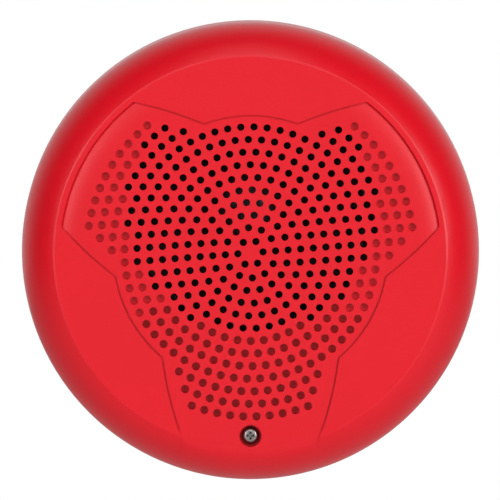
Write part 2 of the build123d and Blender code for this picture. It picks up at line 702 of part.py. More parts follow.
def make_speaker_basket():
    with BuildPart() as speaker_basket:
        speaker_turned([(11.5, 22.0), (25.0, 22.0), (27.0, 26.5), (30.0, 26.5), (44.0, 30.0),
                        (48.2, FLANGE_BACK), (FLANGE_RADIUS, FLANGE_BACK),
                        (FLANGE_RADIUS, FLANGE_FRONT), (47.2, FLANGE_FRONT), (43.2, 31.0),
                        (29.8, 27.5), (26.3, 27.5), (24.3, 23.0), (11.5, 23.0)])
        with BuildSketch(at_depth(FLANGE_BACK)):
            with Locations(*speaker_screw_places()):
                Circle(EAR_RADIUS)
            with Locations((0, SPEAKER_Z)):
                Circle(FLANGE_RADIUS - 1, mode=Mode.SUBTRACT)
        extrude(amount=FLANGE_THICK)
        post(speaker_screw_places(), COVER_SCREW_HOLE, FLANGE_BACK - 1, FLANGE_FRONT + 1,
             Mode.SUBTRACT)
        with BuildSketch(at_depth(24, 0, SPEAKER_Z)):
            with PolarLocations(0, 4, start_angle=45):
                add(basket_window())
        extrude(amount=12, mode=Mode.SUBTRACT)
    save(speaker_basket, "speaker_basket")


def make_magnet_system():
    with BuildPart() as top_plate:
        tube(GAP_OUTER_RADIUS, YOKE_RADIUS, MAGNET_FRONT, TOP_PLATE_FRONT, 0, SPEAKER_Z)
    save(top_plate, "magnet_top_plate")
    with BuildPart() as magnet:
        tube(MAGNET_BORE, MAGNET_RADIUS, MAGNET_BACK, MAGNET_FRONT, 0, SPEAKER_Z)
        ends = magnet.edges().filter_by(GeomType.CIRCLE)
        fillet(ends.filter_by(lambda edge: edge.radius > MAGNET_RADIUS - 0.1), radius=0.6)
    save(magnet, "magnet_ring")
    bevel = 0.8
    pole_front = TOP_PLATE_FRONT - POLE_SHORT
    with BuildPart() as yoke:
        speaker_turned([(0, YOKE_BACK), (YOKE_RADIUS - bevel, YOKE_BACK),
                        (YOKE_RADIUS, YOKE_BACK + bevel), (YOKE_RADIUS, MAGNET_BACK),
                        (POLE_RADIUS, MAGNET_BACK), (POLE_RADIUS, pole_front), (0, pole_front)])
    save(yoke, "magnet_yoke")


def make_voice_coil():
    former_outer = COIL_RADIUS + COIL_WALL
    with BuildPart() as former:
        tube(COIL_RADIUS, former_outer, COIL_BACK, COIL_FRONT, 0, SPEAKER_Z)
    save(former, "voice_coil_former")
    with BuildPart() as winding:
        tube(former_outer, former_outer + WINDING_WALL, WINDING_BACK, WINDING_FRONT, 0, SPEAKER_Z)
    save(winding, "voice_coil_winding")


def make_cone():
    neck = COIL_RADIUS + COIL_WALL
    with BuildPart() as cone:
        speaker_turned([(neck, 28.6), (neck + 0.9, 28.6), (24.0, 34.7), (38.5, 40.4), (41.0, 40.4),
                        (41.0, 41.0), (38.3, 41.0), (23.8, 35.35), (neck, 29.5)])
    save(cone, "speaker_cone")
    cap_centre = (0, 15.6)
    cap_radius = 20.0
    cap_thick = 0.5
    cap_edge_angle = 50.5
    with BuildPart() as dust_cap:
        with BuildSketch(section(0, SPEAKER_Z)):
            with BuildLine():
                spread = 90 - cap_edge_angle
                outer = CenterArc(cap_centre, cap_radius, cap_edge_angle, spread)
                inner = CenterArc(cap_centre, cap_radius - cap_thick, cap_edge_angle, spread)
                Line(outer @ 0, inner @ 0)
                Line(outer @ 1, inner @ 1)
            make_face()
        revolve(axis=depth_axis(0, SPEAKER_Z))
    save(dust_cap, "dust_cap")


def make_surround():
    """The rolled rubber ring between the cone's rim and the flange."""
    with BuildPart() as surround:
        with BuildSketch(section(0, SPEAKER_Z)):
            with BuildLine():
                Polyline((41.6, 41.05), (38.8, 41.05), (38.8, 41.5), (41.6, 41.5))
                top = ThreePointArc((41.6, 41.5), (43.9, 39.4), (46.2, 41.7))
                Polyline(top @ 1, (50.3, 41.7), (50.3, 41.32), (46.6, 41.32))
                ThreePointArc((46.6, 41.32), (43.9, 38.9), (41.6, 41.05))
            make_face()
        revolve(axis=depth_axis(0, SPEAKER_Z))
    save(surround, "cone_surround")


def make_spider():
    """The corrugated disc that centres the voice coil."""
    waves = 7
    swing = 0.5
    thick = 0.35
    middle = 27.6
    inner = COIL_RADIUS + COIL_WALL + 0.02
    outer = 29.2
    step = (outer - inner) / (2 * waves)
    with BuildPart() as spider:
        back = [(inner + k * step, middle + swing * (k % 2)) for k in range(2 * waves + 1)]
        front = [(radius, depth + thick) for radius, depth in reversed(back)]
        speaker_turned(back + front)
    save(spider, "cone_spider")


def make_gasket():
    with BuildPart() as gasket:
        tube(GASKET_INNER, GASKET_OUTER, GASKET_BACK, LAND_DEPTH, 0, SPEAKER_Z)
    save(gasket, "speaker_gasket")


def make_speaker_screws():
    head_height = 2.0
    length = 3.2
    with BuildPart() as speaker_screws:
        for x, z in speaker_screw_places():
            screw(x, z, FLANGE_BACK, -1, 2.8, head_height, PILOT_RADIUS - THREAD_GAP, length)
        rear_facing_recess(speaker_screw_places(), FLANGE_BACK - head_height, 1.1, 0.55, 1.2)
    save(speaker_screws, "speaker_screws")


def make_lead_strip():
    """The small board of solder tags on the lowest spoke of the basket."""
    top = SPEAKER_Z - 31.0
    strip_back, strip_front = 24.9, 25.9
    tag_thick = 0.4
    rivet_z = top - 6.5
    with BuildPart() as strip:
        block((17, 9), strip_back, strip_front, 0, top - 4.5)
        block((6, 1.2), strip_front, 26.6, 0, top - 0.6)
    save(strip, "lead_strip")
    with BuildPart() as tags:
        for x in (-TAG_X, TAG_X):
            block((3.0, 8.0), strip_back - tag_thick, strip_back, x, top - 5.0)
            post([(x, rivet_z)], 0.8, strip_front, strip_front + tag_thick)
            post([(x, rivet_z)], 0.8, strip_back - 2 * tag_thick, strip_back - tag_thick)
    save(tags, "lead_strip_tags")


def wire(route, radius):
    """A wire along (x, depth, z) points, its corners rounded as widely as its runs allow."""
    points = [Vector(x, -depth, z) for x, depth, z in route]
    radii = []
    for before, here, after in zip(points, points[1:], points[2:]):
        half_turn = radians((here - before).get_angle(after - here)) / 2
        shorter = min((here - before).length, (after - here).length)
        radii.append(0.45 * shorter / tan(half_turn))
    with BuildLine() as path:
        FilletPolyline(*points, radius=radii)
    with BuildSketch(Plane(origin=points[0], z_dir=points[1] - points[0])) as end:
        Circle(radius)
    sweep(end.sketch, path=path.line)


def make_wires():
    """From the solder tags to the board, and the two braids from the tags to the cone."""
    tags_z = SPEAKER_Z - 36.0
    for colour, x in (("red", -TAG_X), ("black", TAG_X)):
        with BuildPart() as lead:
            wire([(x, 23.7, tags_z - 3.0), (x, 23.7, tags_z - 7.0), (x, 27.0, tags_z - 9.0),
                  (x, 27.0, tags_z - 12.0), (x, BOARD_FRONT, tags_z - 12.2)], 0.6)
        save(lead, f"speaker_wire_{colour}")
    with BuildPart() as braids:
        for side in (-1, 1):
            wire([(side * 13.8, 32.0, SPEAKER_Z - 14.5), (side * 19.5, 29.4, SPEAKER_Z - 27.5),
                  (side * 17.0, 25.0, SPEAKER_Z - 33.5), (side * 10.0, 23.2, SPEAKER_Z - 34.0),
                  (side * 6.6, 23.9, SPEAKER_Z - 33.5)], 0.35)
    save(braids, "tinsel_leads")


# Circuit board

def board_screw_places():
    half_x, half_z = BOARD_SCREW_GRID[0] / 2, BOARD_SCREW_GRID[1] / 2
    return [(x, BOARD_Z + z) for x in (-half_x, half_x) for z in (-half_z, half_z)]


def make_circuit_board():
    with BuildPart() as circuit_board:
        with BuildSketch(at_depth(BOARD_BACK, 0, BOARD_Z)):
            RectangleRounded(*BOARD_SIZE, radius=2)
        extrude(amount=BOARD_THICK)
        post(board_screw_places(), 1.5, BOARD_BACK, BOARD_FRONT, Mode.SUBTRACT)
    save(circuit_board, "circuit_board")


def make_board_screws():
    head_height = 1.8
    length = 5.0
    with BuildPart() as board_screws:
        for x, z in board_screw_places():
            screw(x, z, BOARD_FRONT, 1, 2.5, head_height, PILOT_RADIUS - THREAD_GAP, length)
            cross_recess(x, z, BOARD_FRONT + head_height, 1.0, 0.5, 1.0)
    save(board_screws, "board_screws")


def make_line_transformer():
    """Laminated E-I core around a wound bobbin that stands on six pins."""
    x, z = TRANSFORMER_PLACE
    width, height = TRANSFORMER_CORE
    back = BOARD_FRONT + 1.0
    front = back + 16.0
    leg = 8.0
    window = 7.0
    window_back = back + 2.5
    window_depth = 11.0
    gap = 0.2
    bobbin = (21.4, 24.0)
    with BuildPart() as transformer_core:
        block((width, height), back, front, x, z)
        for side in (-1, 1):
            block((window, height + 1), window_back, window_back + window_depth,
                  x + side * (leg + window) / 2, z, Mode.SUBTRACT)
    save(transformer_core, "transformer_core")
    with BuildPart() as transformer_winding:
        with BuildSketch(at_depth(window_back + gap, x, z)):
            RectangleRounded(*bobbin, radius=2)
            Rectangle(leg + gap, height + gap, mode=Mode.SUBTRACT)
        extrude(amount=window_depth - 2 * gap)
    save(transformer_winding, "transformer_winding")
    with BuildPart() as transformer_pins:
        for side in (-1, 1):
            row = [(x + step * leg, z + side * 10.0) for step in (-1, 0, 1)]
            post(row, 0.45, BOARD_FRONT, window_back + gap)
    save(transformer_pins, "transformer_pins")


def make_capacitor():
    """The non-polar capacitor that blocks direct current, lying on the board."""
    x, z = CAPACITOR_PLACE
    middle = BOARD_FRONT + CAPACITOR_RADIUS + 0.2
    with BuildPart() as capacitor:
        with BuildSketch(side_view(x)):
            with Locations((middle, z)):
                Circle(CAPACITOR_RADIUS)
        extrude(amount=CAPACITOR_LENGTH / 2, both=True)
        fillet(capacitor.edges().filter_by(GeomType.CIRCLE), radius=0.8)
    save(capacitor, "blocking_capacitor")


def make_tap_selector():
    """Rotary switch that picks the loudness; its slotted rotor looks out of the rear cover."""
    x = TAP_SELECTOR_X
    body_back = REAR_BACK - 0.6
    rotor_back = REAR_BACK - 1.1
    rotor_front = 18.5
    slot = (6.0, 1.1)
    slot_depth = 1.0
    dot_radius = 0.5
    dot_depth = 0.2
    with BuildPart() as body:
        block((12, 12), body_back, BOARD_BACK, x, SWITCH_Z)
        post([(x, SWITCH_Z)], ROTOR_RADIUS + 0.06, body_back - 1, rotor_front + 0.1, Mode.SUBTRACT)
    save(body, "tap_selector_body")
    with BuildPart() as rotor:
        post([(x, SWITCH_Z)], ROTOR_RADIUS, rotor_back, rotor_front)
        block(slot, rotor_back - 1, rotor_back + slot_depth, x, SWITCH_Z, Mode.SUBTRACT)
        post([(x + slot[0] / 2, SWITCH_Z)], dot_radius, rotor_back - 1, rotor_back + dot_depth,
             Mode.SUBTRACT)
    save(rotor, "tap_selector_rotor")


def make_voltage_switch():
    """Slide switch for the line voltage; its knob stands at the left of its window."""
    x = VOLTAGE_SWITCH_X
    body_back = REAR_BACK - 0.4
    window = (7.0, 3.2)
    window_floor = 18.2
    carrier = (3.6, 2.9)
    knob = (2.0, 2.2)
    knob_back = 14.2
    carrier_back = body_back + 0.5
    travel = 3.0
    with BuildPart() as body:
        block((12, 6), body_back, BOARD_BACK, x, SWITCH_Z)
        block(window, body_back - 1, window_floor, x, SWITCH_Z, Mode.SUBTRACT)
    save(body, "voltage_switch_body")
    with BuildPart() as slider:
        block(carrier, carrier_back, window_floor - 0.1, x - travel / 2, SWITCH_Z)
        block(knob, knob_back, carrier_back, x - travel / 2, SWITCH_Z)
    save(slider, "voltage_switch_slider")


def make_connector():
    """Header on the back of the board; its four pins plug into the terminal block."""
    header_back = 17.0
    shoulder = 9.0
    tip = 8.2
    with BuildPart() as header:
        block((31, 5), header_back, BOARD_BACK, 0, SOCKET_Z)
        post(terminal_places(SOCKET_Z), PIN_RADIUS, header_back - 1, BOARD_BACK + 1, Mode.SUBTRACT)
    save(header, "pin_header")
    with BuildPart() as pins:
        post(terminal_places(SOCKET_Z), PIN_RADIUS, shoulder, BOARD_BACK)
        post(terminal_places(SOCKET_Z), PIN_RADIUS / 2, tip, shoulder)
    save(pins, "contact_pins")


os.makedirs("parts", exist_ok=True)
make_front_cover()
make_mounting_plate()
make_threaded_insert()
make_terminal_block()
make_contact_plates()
make_terminals()
make_rear_cover()
make_rear_cover_screws()
make_captive_screw()
make_retaining_washer()
make_speaker_basket()
make_magnet_system()
make_voice_coil()
make_cone()
make_surround()
make_spider()
make_gasket()
make_speaker_screws()
make_lead_strip()
make_wires()
make_circuit_board()
make_board_screws()
make_line_transformer()
make_capacitor()
make_tap_selector()
make_voltage_switch()
make_connector()
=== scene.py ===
"""Looks for the round alarm sounder: materials, fine detail, light and camera around the CAD frame."""

import json
from math import ceil, cos, pi, radians, sin

import bmesh
import bpy
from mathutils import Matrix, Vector


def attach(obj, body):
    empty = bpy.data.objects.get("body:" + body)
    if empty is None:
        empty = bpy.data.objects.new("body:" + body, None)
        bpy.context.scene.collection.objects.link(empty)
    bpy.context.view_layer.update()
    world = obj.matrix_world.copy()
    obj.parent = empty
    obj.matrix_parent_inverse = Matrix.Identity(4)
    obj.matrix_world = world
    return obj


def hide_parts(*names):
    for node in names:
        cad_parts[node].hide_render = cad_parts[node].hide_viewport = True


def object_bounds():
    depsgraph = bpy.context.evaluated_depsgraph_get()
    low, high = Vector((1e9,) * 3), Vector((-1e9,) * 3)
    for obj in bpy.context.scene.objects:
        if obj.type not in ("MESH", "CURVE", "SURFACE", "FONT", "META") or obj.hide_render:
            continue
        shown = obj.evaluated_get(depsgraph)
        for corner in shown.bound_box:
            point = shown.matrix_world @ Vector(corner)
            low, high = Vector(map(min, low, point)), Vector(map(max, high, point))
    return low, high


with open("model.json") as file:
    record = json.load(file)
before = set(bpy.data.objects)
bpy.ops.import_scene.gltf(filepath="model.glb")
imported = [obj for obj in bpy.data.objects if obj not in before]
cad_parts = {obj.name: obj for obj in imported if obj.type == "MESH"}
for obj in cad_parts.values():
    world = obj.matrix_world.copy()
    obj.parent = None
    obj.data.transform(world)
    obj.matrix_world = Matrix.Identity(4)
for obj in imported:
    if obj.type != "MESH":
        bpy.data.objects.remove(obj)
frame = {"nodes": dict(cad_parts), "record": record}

CAD_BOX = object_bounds()
MM = 0.001

LOW, HIGH = CAD_BOX
CENTRE = (LOW + HIGH) / 2
DIAMETER = HIGH.x - LOW.x


# Material building blocks

def material(name, colour, roughness, metallic=0.0, specular=0.5):
    """A Principled material; colour is linear RGB."""
    mat = bpy.data.materials.new(name)
    mat.use_nodes = True
    shader = mat.node_tree.nodes["Principled BSDF"]
    shader.inputs["Base Color"].default_value = (*colour, 1.0)
    shader.inputs["Roughness"].default_value = roughness
    shader.inputs["Metallic"].default_value = metallic
    shader.inputs["Specular IOR Level"].default_value = specular
    mat.diffuse_color = (*colour, 1.0)
    return mat


def node(mat, kind, **settings):
    made = mat.node_tree.nodes.new(kind)
    for key, value in settings.items():
        if key in made.inputs:
            made.inputs[key].default_value = value
        else:
            setattr(made, key, value)
    return made


def link(mat, source, target):
    mat.node_tree.links.new(source, target)


def shader_of(mat):
    return mat.node_tree.nodes["Principled BSDF"]


def position(mat, scale=(1, 1, 1)):
    """Object coordinates, in metres, stretched by scale."""
    coords = node(mat, "ShaderNodeTexCoord")
    mapping = node(mat, "ShaderNodeMapping")
    mapping.inputs["Scale"].default_value = scale
    link(mat, coords.outputs["Object"], mapping.inputs["Vector"])
    return mapping.outputs["Vector"]


def noise(mat, where, size, detail=3.0, rough=0.5):
    """Noise whose features are about size metres across."""
    made = node(mat, "ShaderNodeTexNoise")
    made.inputs["Scale"].default_value = 1.0 / size
    made.inputs["Detail"].default_value = detail
    made.inputs["Roughness"].default_value = rough
    link(mat, where, made.inputs["Vector"])
    return made.outputs["Fac"]


def bump(mat, height, distance, strength=1.0, after=None):
    made = node(mat, "ShaderNodeBump")
    made.inputs["Distance"].default_value = distance
    made.inputs["Strength"].default_value = strength
    link(mat, height, made.inputs["Height"])
    if after is not None:
        link(mat, after, made.inputs["Normal"])
    return made.outputs["Normal"]


def ramp(mat, factor, low, high, start=0.3, end=0.7):
    """Runs from the colour low to the colour high as factor goes from start to end."""
    made = node(mat, "ShaderNodeValToRGB")
    made.color_ramp.elements[0].position = start
    made.color_ramp.elements[0].color = (*low, 1.0)
    made.color_ramp.elements[1].position = end
    made.color_ramp.elements[1].color = (*high, 1.0)
    link(mat, factor, made.inputs["Fac"])
    return made.outputs["Color"]


def vary_roughness(mat, factor, low, high):
    made = node(mat, "ShaderNodeMapRange")
    made.inputs["To Min"].default_value = low
    made.inputs["To Max"].default_value = high
    link(mat, factor, made.inputs["Value"])
    link(mat, made.outputs["Result"], shader_of(mat).inputs["Roughness"])


def shade(colour, factor):
    return tuple(min(1.0, channel * factor) for channel in colour)


def mottle(mat, where, colour, size, spread=0.06):
    """Slight, slow changes of colour."""
    tint = ramp(mat, noise(mat, where, size), shade(colour, 1 - spread), shade(colour, 1 + spread))
    link(mat, tint, shader_of(mat).inputs["Base Color"])


# Materials

def moulded_plastic(name, colour, roughness, grain=0.00035, depth=0.000012, spread=0.03,
                    specular=0.35):
    """Satin plastic with the fine spark-eroded grain of its mould."""
    mat = material(name, colour, roughness, specular=specular)
    where = position(mat)
    mottle(mat, where, colour, 0.03, spread)
    fine = noise(mat, where, grain, 2.0)
    wave = bump(mat, noise(mat, where, 0.006, 1.0), 0.00002)
    link(mat, bump(mat, fine, depth, after=wave), shader_of(mat).inputs["Normal"])
    vary_roughness(mat, noise(mat, where, 0.002), roughness - 0.05, roughness + 0.05)
    return mat


def plated_metal(name, colour, roughness, scratch=0.00012, depth=0.000003):
    """Plated metal with faint turned marks and slight clouding."""
    mat = material(name, colour, roughness, metallic=1.0)
    where = position(mat)
    mottle(mat, where, colour, 0.002, 0.08)
    link(mat, bump(mat, noise(mat, where, scratch), depth), shader_of(mat).inputs["Normal"])
    vary_roughness(mat, noise(mat, where, 0.001), roughness - 0.07, roughness + 0.09)
    return mat


def layered(name, colour, roughness, pitch, scale, metallic=0.0, depth=0.00004, dark=0.55):
    """Fine parallel layers, such as laminations, wire turns or wrapped tape, stacked along scale."""
    mat = material(name, colour, roughness, metallic)
    where = position(mat, scale)
    stripes = node(mat, "ShaderNodeTexWave", wave_type="BANDS", bands_direction="DIAGONAL")
    stripes.inputs["Scale"].default_value = 0.314 / pitch
    stripes.inputs["Distortion"].default_value = 0.3
    link(mat, where, stripes.inputs["Vector"])
    tint = ramp(mat, stripes.outputs["Fac"], shade(colour, dark), colour, 0.1, 0.6)
    link(mat, tint, shader_of(mat).inputs["Base Color"])
    link(mat, bump(mat, stripes.outputs["Fac"], depth), shader_of(mat).inputs["Normal"])
    return mat


def fibrous(name, colour, roughness, size, depth, spread=0.25):
    """Pressed paper or foam: a rough, speckled surface."""
    mat = material(name, colour, roughness, specular=0.25)
    where = position(mat)
    speckle = noise(mat, where, size, 6.0, 0.7)
    link(mat, ramp(mat, speckle, shade(colour, 1 - spread), shade(colour, 1 + spread)),
         shader_of(mat).inputs["Base Color"])
    link(mat, bump(mat, speckle, depth), shader_of(mat).inputs["Normal"])
    return mat


def woven(name, colour, roughness, pitch):
    """Resin-dipped cloth: two sets of threads that cross."""
    mat = material(name, colour, roughness, specular=0.3)
    threads = []
    for direction in ("X", "Z"):
        wave = node(mat, "ShaderNodeTexWave", wave_type="BANDS", bands_direction=direction)
        wave.inputs["Scale"].default_value = 0.314 / pitch
        link(mat, position(mat), wave.inputs["Vector"])
        threads.append(wave.outputs["Fac"])
    both = node(mat, "ShaderNodeMath", operation="MULTIPLY")
    link(mat, threads[0], both.inputs[0])
    link(mat, threads[1], both.inputs[1])
    link(mat, ramp(mat, both.outputs["Value"], shade(colour, 0.6), shade(colour, 1.15), 0.0, 0.8),
         shader_of(mat).inputs["Base Color"])
    link(mat, bump(mat, both.outputs["Value"], 0.00008), shader_of(mat).inputs["Normal"])
    return mat


def circuit_green(name):
    """Solder mask over copper tracks."""
    mask, track = (0.010, 0.085, 0.030), (0.022, 0.17, 0.055)
    mat = material(name, mask, 0.3)
    where = position(mat)
    bricks = node(mat, "ShaderNodeTexBrick", offset=0.37, squash=1.6, squash_frequency=3)
    bricks.inputs["Scale"].default_value = 160.0
    bricks.inputs["Mortar Size"].default_value = 0.035
    bricks.inputs["Color1"].default_value = (*mask, 1)
    bricks.inputs["Color2"].default_value = (*shade(mask, 1.25), 1)
    bricks.inputs["Mortar"].default_value = (*track, 1)
    turned = node(mat, "ShaderNodeMapping")
    turned.inputs["Rotation"].default_value = (radians(90), 0, 0)
    link(mat, where, turned.inputs["Vector"])
    link(mat, turned.outputs["Vector"], bricks.inputs["Vector"])
    link(mat, bricks.outputs["Color"], shader_of(mat).inputs["Base Color"])
    link(mat, bump(mat, bricks.outputs["Fac"], 0.00003), shader_of(mat).inputs["Normal"])
    return mat


RED = (0.56, 0.0024, 0.0105)

FINISHES = {
    "red_plastic": moulded_plastic("red_plastic", RED, 0.34, spread=0.015, specular=0.27),
    "black_plastic": moulded_plastic("black_plastic", (0.012, 0.012, 0.013), 0.5),
    "plate_plastic": moulded_plastic("plate_plastic", (0.52, 0.50, 0.45), 0.5),
    "white_plastic": moulded_plastic("white_plastic", (0.78, 0.78, 0.74), 0.38),
    "nylon_washer": moulded_plastic("nylon_washer", (0.66, 0.64, 0.56), 0.4),
    "zinc_steel": plated_metal("zinc_steel", (0.25, 0.24, 0.23), 0.30),
    "brass": plated_metal("brass", (0.80, 0.56, 0.22), 0.28),
    "tinned_brass": plated_metal("tinned_brass", (0.80, 0.80, 0.78), 0.22),
    "basket_steel": moulded_plastic("basket_steel", (0.022, 0.022, 0.024), 0.4, 0.0005, 0.00002),
    "lamination_steel": layered("lamination_steel", (0.30, 0.30, 0.31), 0.42, 0.0005,
                                (0, 1, 0), 1.0),
    "ferrite": fibrous("ferrite", (0.035, 0.035, 0.038), 0.62, 0.0008, 0.00002),
    "former_paper": fibrous("former_paper", (0.33, 0.20, 0.09), 0.7, 0.0006, 0.00001),
    "copper_wire": layered("copper_wire", (0.70, 0.28, 0.11), 0.3, 0.0003, (0, 1, 0), 1.0),
    "cone_paper": fibrous("cone_paper", (0.016, 0.016, 0.018), 0.75, 0.0007, 0.00005),
    "cap_gloss": moulded_plastic("cap_gloss", (0.05, 0.05, 0.055), 0.25),
    "surround_rubber": moulded_plastic("surround_rubber", (0.014, 0.014, 0.014), 0.6),
    "spider_cloth": woven("spider_cloth", (0.50, 0.27, 0.06), 0.7, 0.0006),
    "gasket_foam": fibrous("gasket_foam", (0.04, 0.04, 0.042), 0.9, 0.0009, 0.0001),
    "phenolic_board": fibrous("phenolic_board", (0.20, 0.09, 0.03), 0.5, 0.0009, 0.00001),
    "red_wire": moulded_plastic("red_wire", (0.50, 0.012, 0.012), 0.35),
    "black_wire": moulded_plastic("black_wire", (0.012, 0.012, 0.012), 0.35),
    "green_board": circuit_green("green_board"),
    "winding_tape": layered("winding_tape", (0.62, 0.42, 0.04), 0.35, 0.0022, (0, 1, 0),
                            dark=0.8, depth=0.00008),
    "capacitor_sleeve": moulded_plastic("capacitor_sleeve", (0.012, 0.02, 0.075), 0.28),
}


def finish_cad_nodes():
    """Every CAD node takes the material of its slot."""
    slot_of = {row["node"]: row["material_slot"] for row in frame["record"]["subparts"]}
    for name, obj in frame["nodes"].items():
        obj.data.materials.clear()
        obj.data.materials.append(FINISHES[slot_of[name]])


# Screws with real threads and recesses, in place of the plain ones

SEGMENTS = 48
RINGS_PER_TURN = 8
DOME_RINGS = 8
COARSE_PITCH = 0.79375 * MM
FINE_PITCH = 1.1 * MM
THREAD_HEIGHT = 0.21
TIP_SHARE = 0.62
POINT_SHARE = 0.75
HEAD_SIDE = 0.38
CROWN_SHARE = 0.42
HEAD_CHAMFER = (0.12 * MM, 0.1 * MM)
NECK_GAP = 0.05 * MM
CRISP_ANGLE = radians(38)


def new_object(name, mesh_data):
    mesh = bpy.data.meshes.new(name)
    mesh_data.to_mesh(mesh)
    mesh_data.free()
    made = bpy.data.objects.new(name, mesh)
    bpy.context.scene.collection.objects.link(made)
    return made


def thread_radius(crest, pitch, height, along, angle):
    """Radius of a right-hand thread at a place along it, with flat crests and roots."""
    phase = (along / pitch - angle / (2 * pi)) % 1
    ridge = min(1.0, max(0.0, 2.0 * (1 - abs(2 * phase - 1)) - 0.5))
    return crest - height * (1 - ridge)


def add_screw(mesh, x, z, seat, facing, tip, shank, head, height, thread_end, pitch):
    """One screw about a line along Y. Depths are distances in front of the wall."""
    def ring(depth, radius_at):
        places = []
        for k in range(SEGMENTS):
            angle = 2 * pi * k / SEGMENTS
            radius = radius_at(angle)
            places.append(mesh.verts.new((x + radius * cos(angle), -depth, z + radius * sin(angle))))
        return places

    def along(depth):
        return facing * (depth - tip)

    rings = [ring(tip, lambda angle: TIP_SHARE * shank)]
    steps = ceil(along(thread_end) / (pitch / RINGS_PER_TURN))
    for k in range(1, steps + 1):
        share = k / steps
        depth = tip + share * (thread_end - tip)
        point = min(1.0, POINT_SHARE + (1 - POINT_SHARE) * along(depth) / pitch)
        fade = min(1.0, (1 - share) * along(thread_end) / pitch)
        thread = THREAD_HEIGHT * pitch * fade
        rings.append(ring(depth, lambda angle: point * thread_radius(
            shank, pitch, thread, facing * along(depth), angle)))
    rings.append(ring(seat - facing * NECK_GAP, lambda angle: shank))
    inward, upward = HEAD_CHAMFER
    side = HEAD_SIDE * height
    crown = CROWN_SHARE * head
    rings.append(ring(seat, lambda angle: head - inward))
    rings.append(ring(seat + facing * upward, lambda angle: head))
    rings.append(ring(seat + facing * side, lambda angle: head))
    for k in range(1, DOME_RINGS + 1):
        turn = k * pi / (2 * DOME_RINGS)
        radius = crown + (head - crown) * cos(turn)
        rings.append(ring(seat + facing * (side + (height - side) * sin(turn)),
                          lambda angle: radius))
    for low, high in zip(rings, rings[1:]):
        for k in range(SEGMENTS):
            following = (k + 1) % SEGMENTS
            mesh.faces.new((low[k], low[following], high[following], high[k]))
    mesh.faces.new(rings[0])
    mesh.faces.new(rings[-1])


def add_cross_cutter(mesh, x, z, front, facing, reach, width, depth):
    """A tapered cross that cuts one Phillips recess."""
    def outline(level, reach, half):
        corners = [(reach, -half), (reach, half), (half, half), (half, reach), (-half, reach),
                   (-half, half), (-reach, half), (-reach, -half), (-half, -half),
                   (-half, -reach), (half, -reach), (half, -half)]
        return [mesh.verts.new((x + u, -level, z + v)) for u, v in corners]

    clear_of_head = 0.3 * MM
    top = outline(front + facing * clear_of_head, 1.08 * reach, 0.5 * width)
    bottom = outline(front - facing * depth, 0.4 * reach, 0.3 * width)
    for k in range(len(top)):
        following = (k + 1) % len(top)
        mesh.faces.new((top[k], top[following], bottom[following], bottom[k]))
    mesh.faces.new(top)
    mesh.faces.new(bottom)


def cut_away(body, cutter_mesh):
    """Cuts the cutter out of the body and leaves a plain mesh."""
    bmesh.ops.recalc_face_normals(cutter_mesh, faces=cutter_mesh.faces)
    cutter = new_object(body.name + "_cutter", cutter_mesh)
    cut = body.modifiers.new("cut", "BOOLEAN")
    cut.operation = "DIFFERENCE"
    cut.solver = "EXACT"
    cut.object = cutter
    graph = bpy.context.evaluated_depsgraph_get()
    finished = bpy.data.meshes.new_from_object(body.evaluated_get(graph))
    body.modifiers.clear()
    body.data = finished
    bpy.data.objects.remove(cutter)


def smooth_under(obj, angle):
    """Smooth shading, with edges sharper than angle left crisp."""
    for face in obj.data.polygons:
        face.use_smooth = True
    mesh = bmesh.new()
    mesh.from_mesh(obj.data)
    for edge in mesh.edges:
        edge.smooth = len(edge.link_faces) == 2 and edge.calc_face_angle() < angle
    mesh.to_mesh(obj.data)
    mesh.free()


def shells(node_name):
    """The low and high corners of each separate solid of a CAD node, in a fixed order."""
    mesh = bmesh.new()
    mesh.from_mesh(frame["nodes"][node_name].data)
    bmesh.ops.remove_doubles(mesh, verts=mesh.verts, dist=1e-7)
    left = set(mesh.verts)
    found = []
    while left:
        stack = [left.pop()]
        places = []
        while stack:
            vert = stack.pop()
            places.append(vert.co.copy())
            for edge in vert.link_edges:
                other = edge.other_vert(vert)
                if other in left:
                    left.remove(other)
                    stack.append(other)
        low = Vector(min(place[axis] for place in places) for axis in range(3))
        high = Vector(max(place[axis] for place in places) for axis in range(3))
        found.append((low, high))
    mesh.free()
    return sorted(found, key=lambda corners: (round(corners[0].x, 5), round(corners[0].z, 5)))


def detailed_screws(node_name, body, facing, shank, height, pitch, thread_share, recess):
    """Replaces a CAD node of plain screws by screws with threads, domed heads and recesses."""
    reach, width, depth = recess
    mesh = bmesh.new()
    cutter = bmesh.new()
    for low, high in shells(node_name):
        x, z = (low.x + high.x) / 2, (low.z + high.z) / 2
        head = (high.x - low.x) / 2
        near, far = -high.y, -low.y
        tip, top = (near, far) if facing > 0 else (far, near)
        seat = top - facing * height
        thread_end = tip + thread_share * (seat - tip)
        add_screw(mesh, x, z, seat, facing, tip, shank, head, height, thread_end, pitch)
        add_cross_cutter(cutter, x, z, top, facing, reach, width, depth)
    bmesh.ops.recalc_face_normals(mesh, faces=mesh.faces)
    made = new_object(node_name + "_detailed", mesh)
    cut_away(made, cutter)
    smooth_under(made, CRISP_ANGLE)
    made.data.materials.clear()
    made.data.materials.append(FINISHES["zinc_steel"])
    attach(made, body)
    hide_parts(node_name)


